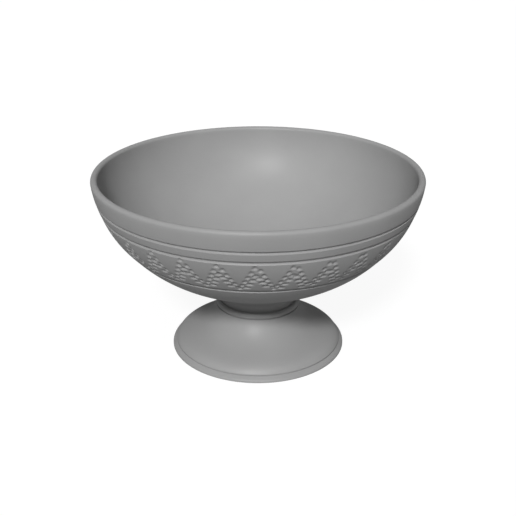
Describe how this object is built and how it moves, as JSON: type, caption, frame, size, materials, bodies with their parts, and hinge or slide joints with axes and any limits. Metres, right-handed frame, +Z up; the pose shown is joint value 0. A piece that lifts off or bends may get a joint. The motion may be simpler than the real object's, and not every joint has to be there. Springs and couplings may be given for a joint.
{
  "type": "footed bowl",
  "caption": "Deep round bowl on a short waisted stem and a hollow bell-shaped foot, with a rounded lip and incised lines, for serving or display.",
  "frame": {"origin": "on the vessel's axis, at the surface it stands on", "axes": "+Z up along the vessel's axis"},
  "size_m": [0.24, 0.24, 0.1391],
  "materials": {
    "grey_ceramic": "fired and unglazed, smooth satin",
    "luting_slip": "fired slip, matt"
  },
  "bodies": {
    "root": {"bowl": "grey_ceramic", "stem": "grey_ceramic", "collar": "grey_ceramic", "foot": "grey_ceramic", "base_ring": "grey_ceramic", "bowl_slip": "luting_slip", "foot_slip": "luting_slip", "collar_slip": "luting_slip", "base_ring_slip": "luting_slip"}
  },
  "joints": []
}
